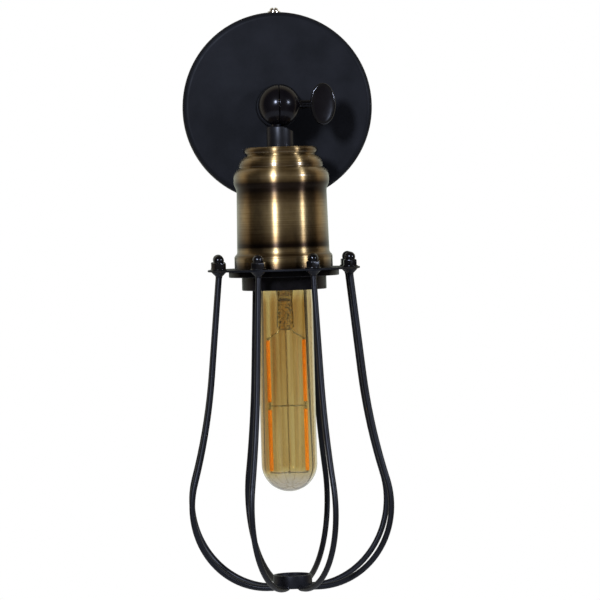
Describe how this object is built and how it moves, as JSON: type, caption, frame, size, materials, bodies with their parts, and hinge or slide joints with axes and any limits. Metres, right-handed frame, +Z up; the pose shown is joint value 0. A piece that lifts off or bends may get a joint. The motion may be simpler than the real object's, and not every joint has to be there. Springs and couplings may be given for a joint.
{
  "type": "cage wall light",
  "caption": "Wall light: round canopy, short arm with a locking ball knuckle and thumb screw, turned brass lamp holder, open wire cage and tubular filament bulb.",
  "frame": {"origin": "on the wall, at the centre of the wall bracket's two slots, behind the middle of the canopy", "axes": "+Z up, +Y into the wall, so the light stands out towards -Y; +X is the side the thumb screw is on"},
  "size_m": [0.1054, 0.1077, 0.3048],
  "materials": {
    "zinc_steel": "zinc plated",
    "satin_black": "satin black powder coat",
    "gloss_black": "semi-gloss black",
    "chrome_screw": "polished",
    "antique_brass": "brushed antique brass, dark in the grooves",
    "plain_brass": "plain",
    "nickel_sheet": "plain",
    "nylon": "matt",
    "black_phenolic": "satin",
    "porcelain": "glazed white",
    "black_glass_bead": "gloss",
    "lead_insulation": "brown and blue PVC",
    "earth_insulation": "green and yellow PVC",
    "led_filament": "orange phosphor",
    "circuit_board": "matt",
    "amber_glass": "clear amber",
    "clear_glass": "clear"
  },
  "bodies": {
    "wall_side": {"wall_bracket": "zinc_steel", "canopy": "satin_black", "canopy_screws": "chrome_screw", "terminal_block": "nylon", "terminal_inserts": "plain_brass", "block_screw": "zinc_steel", "earth_screw": "zinc_steel", "earth_tag": "plain_brass", "arm_boss": "satin_black", "arm_tube": "zinc_steel", "arm_washer": "zinc_steel", "arm_lock_nut": "plain_brass", "knuckle_arm_half": "gloss_black", "knuckle_washer": "zinc_steel", "arm_leads": "lead_insulation", "earth_lead": "earth_insulation", "knuckle_leads": "lead_insulation"},
    "head": {"knuckle_lamp_half": "gloss_black", "holder_tube": "zinc_steel", "holder_washer": "zinc_steel", "holder_lock_nut": "plain_brass", "brass_shell": "antique_brass", "holder_cap": "black_phenolic", "holder_skirt": "black_phenolic", "contact_block": "porcelain", "screw_shell": "nickel_sheet", "centre_contact": "plain_brass", "contact_rivets": "plain_brass", "holder_terminals": "plain_brass", "terminal_screws": "zinc_steel", "lamp_leads": "lead_insulation"},
    "thumb": {"thumb_screw": "gloss_black"},
    "ring": {"shade_ring": "black_phenolic"},
    "cage": {"cage_plate": "satin_black", "cap_nuts": "satin_black", "cage_wire_1": "satin_black", "cage_wire_2": "satin_black", "cage_wire_3": "satin_black", "cage_wire_4": "satin_black", "cage_wire_5": "satin_black", "cage_wire_6": "satin_black", "cage_wire_7": "satin_black", "cage_wire_8": "satin_black", "end_ring": "satin_black"},
    "bulb": {"bulb_glass": "amber_glass", "bulb_cap": "nickel_sheet", "bulb_insulator": "black_glass_bead", "bulb_tip_contact": "zinc_steel", "glass_stem": "clear_glass", "filaments": "led_filament", "filament_wires": "zinc_steel", "driver_board": "circuit_board"}
  },
  "joints": [
    {"name": "head_tilt", "type": "hinge", "parent": "wall_side", "child": "head", "pos_m": [0, -0.055, 0], "axis": [-1, 0, 0], "range_deg": [0, 180], "deforming": ["knuckle_leads"]},
    {"name": "thumb_turn", "type": "hinge", "parent": "head", "child": "thumb", "pos_m": [0, -0.055, 0], "axis": [1, 0, 0], "range_deg": [0, 360]},
    {"name": "ring_turn", "type": "hinge", "parent": "head", "child": "ring", "pos_m": [0, -0.055, -0.09], "axis": [0, 0, -1], "range_deg": [0, 1080]},
    {"name": "cage_turn", "type": "hinge", "parent": "head", "child": "cage", "pos_m": [0, -0.055, -0.085], "axis": [0, 0, -1], "continuous": true},
    {"name": "bulb_turn", "type": "hinge", "parent": "head", "child": "bulb", "pos_m": [0, -0.055, -0.1], "axis": [0, 0, -1], "range_deg": [0, 1440]}
  ]
}
